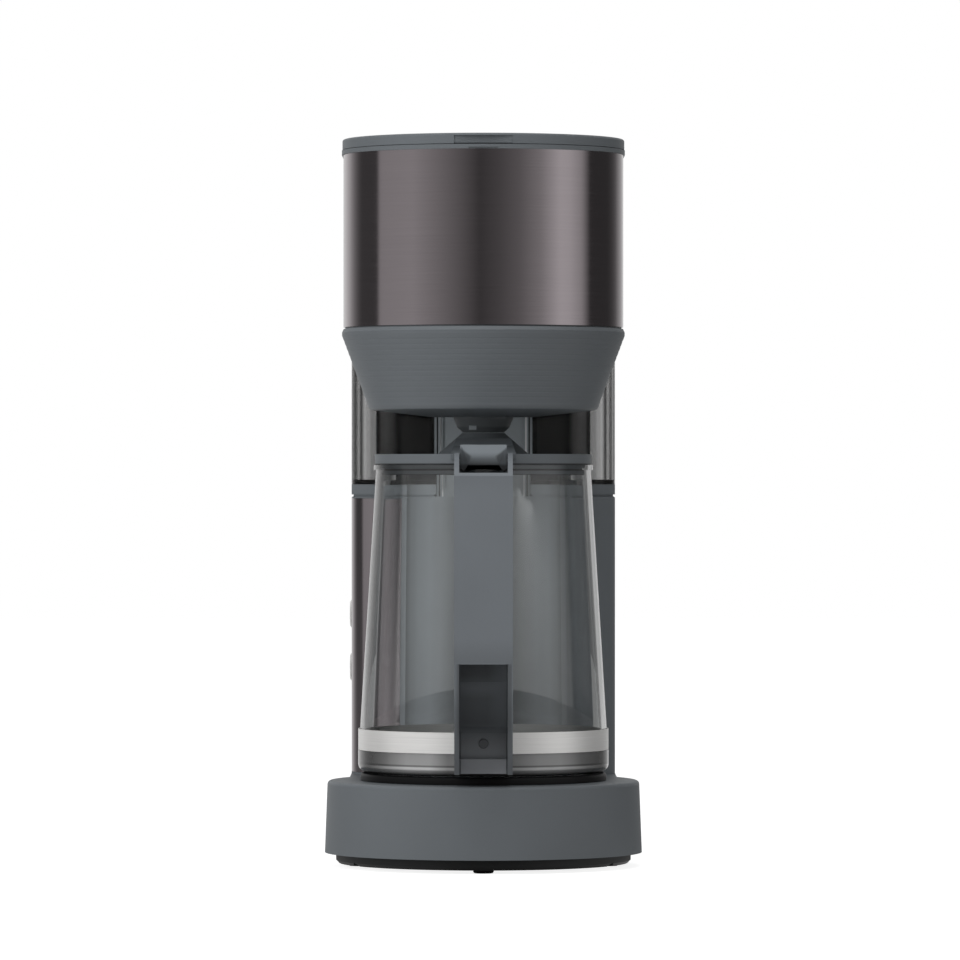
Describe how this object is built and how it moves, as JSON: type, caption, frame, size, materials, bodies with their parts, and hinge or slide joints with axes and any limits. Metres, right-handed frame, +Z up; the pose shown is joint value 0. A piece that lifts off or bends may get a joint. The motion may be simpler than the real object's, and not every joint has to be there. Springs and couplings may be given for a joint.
{
  "type": "filter coffee maker",
  "caption": "Drip coffee maker with a round brew head over a ribbed filter housing, a glass jug with a long handle on a warming plate, and a U-shaped water tank behind.",
  "frame": {"origin": "on the table, under the middle of the machine's outline", "axes": "+Z up; -Y is the front, where the jug's handle points; +X is on the right of a person who stands in front; the control panel is on the -X side"},
  "size_m": [0.1626, 0.2474, 0.3724],
  "materials": {
    "plastic_grey": "fine satin",
    "plastic_dark": "satin",
    "plastic_black": "matt",
    "plastic_valve": "satin",
    "rubber_black": "matt",
    "silicone": "matt",
    "plate_black": "satin coating",
    "aluminium_cast": "as cast",
    "steel_small": "plain",
    "steel_bright": "fine brushed",
    "steel_dark": "brushed",
    "steel_drum": "smooth, reflective",
    "board_green": "circuit board",
    "tank_smoke": "clear, smoked",
    "jug_glass": "clear"
  },
  "bodies": {
    "machine": {"feet": "rubber_black", "base_cover": "plastic_black", "base_screws": "steel_small", "base_housing": "plastic_grey", "cord_outlet": "rubber_black", "warming_plate": "plate_black", "plate_seal": "silicone", "heating_element": "aluminium_cast", "check_valve": "silicone", "thermostats": "aluminium_cast", "tower_housing": "plastic_grey", "rear_cover": "plastic_grey", "rear_screws": "steel_small", "control_panel": "steel_dark", "switch_board": "board_green", "switches": "plastic_black", "tank_collar": "plastic_grey", "water_tank": "tank_smoke", "tank_back": "plastic_black", "tank_seal": "silicone", "cold_hose": "silicone", "spine": "plastic_grey", "riser_tube": "aluminium_cast", "outlet_seal": "silicone", "filter_housing": "plastic_grey", "steel_drum": "steel_drum", "head_liner": "plastic_dark", "head_rim": "plastic_grey", "lid_pins": "steel_small", "brew_basket": "plastic_black", "drip_nozzle": "plastic_dark", "valve_spring": "steel_small", "valve_cage": "plastic_dark"},
    "lid": {"head_lid": "plastic_grey", "shower_head": "plastic_dark"},
    "jug": {"jug_glass": "jug_glass", "jug_band": "steel_bright", "band_screw": "steel_small", "jug_handle": "plastic_grey", "jug_lid": "plastic_grey", "jug_lid_pin": "steel_small"},
    "drip_valve": {"valve_plunger": "plastic_valve", "valve_washer": "silicone"},
    "power_key": {"power_button": "steel_bright"},
    "aroma_key": {"aroma_button": "steel_bright"}
  },
  "joints": [
    {"name": "lid_hinge", "type": "hinge", "parent": "machine", "child": "lid", "pos_m": [0, 0.12075, 0.36975], "axis": [-1, 0, 0], "range_deg": [0, 95]},
    {"name": "jug_slide", "type": "slide", "parent": "machine", "child": "jug", "axis": [0, -1, 0], "range_m": [0, 0.25]},
    {"name": "drip_valve_slide", "type": "slide", "parent": "machine", "child": "drip_valve", "axis": [0, 0, 1], "range_m": [-0.004, 0], "deforming": ["valve_spring"]},
    {"name": "power_press", "type": "slide", "parent": "machine", "child": "power_key", "axis": [1, 0, 0], "range_m": [0, 0.0012], "stiffness_N_per_m": 600},
    {"name": "aroma_press", "type": "slide", "parent": "machine", "child": "aroma_key", "axis": [1, 0, 0], "range_m": [0, 0.0012], "stiffness_N_per_m": 600}
  ],
  "couplings": [
    {"joint": "drip_valve_slide", "follows": "jug_slide", "ratio": -0.016}
  ]
}
